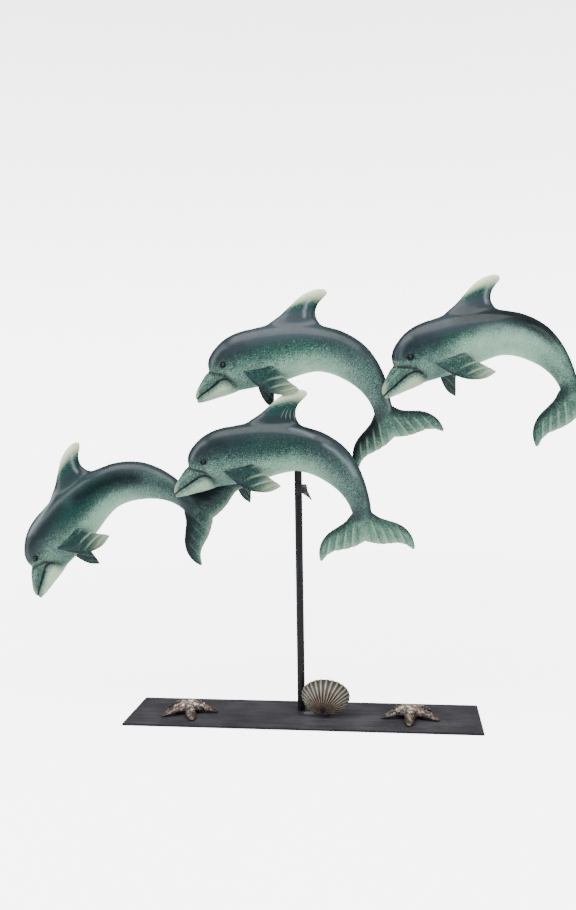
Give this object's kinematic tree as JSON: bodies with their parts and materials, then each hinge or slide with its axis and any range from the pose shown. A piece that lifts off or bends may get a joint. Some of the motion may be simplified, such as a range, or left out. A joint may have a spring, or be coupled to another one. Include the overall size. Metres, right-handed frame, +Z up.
{
  "type": "dolphin statue",
  "caption": "Table statue of leaping dolphins fixed beak to tail above a slim black rod on a flat rectangular plate, with a scallop shell and starfish lying at its foot.",
  "frame": {"origin": "centre of the plate's underside", "axes": "+X along the plate, from the side that the dolphins' noses point to towards their tails; +Z up; the viewer of the picture is in front at -Y"},
  "size_m": [0.6488, 0.0995, 0.4544],
  "materials": {
    "black_paint": "satin black paint on steel",
    "dolphin_glaze": "airbrushed slate, teal green and cream under clear gloss lacquer",
    "shell_patina": "cast shell washed in brown and beige",
    "star_patina": "cast starfish with a worn pewter and bronze patina",
    "raw_steel": "dark torn sheet scrap"
  },
  "bodies": {
    "root": {"base_plate": "black_paint", "post": "black_paint", "post_tab": "raw_steel", "scallop_shell": "shell_patina", "starfish_left": "star_patina", "starfish_right": "star_patina", "dolphin_left": "dolphin_glaze", "dolphin_left_near_fin": "dolphin_glaze", "dolphin_left_far_fin": "dolphin_glaze", "dolphin_upper": "dolphin_glaze", "dolphin_upper_near_fin": "dolphin_glaze", "dolphin_upper_far_fin": "dolphin_glaze", "dolphin_middle": "dolphin_glaze", "dolphin_middle_near_fin": "dolphin_glaze", "dolphin_middle_far_fin": "dolphin_glaze", "dolphin_right": "dolphin_glaze", "dolphin_right_near_fin": "dolphin_glaze", "dolphin_right_far_fin": "dolphin_glaze"}
  },
  "joints": []
}
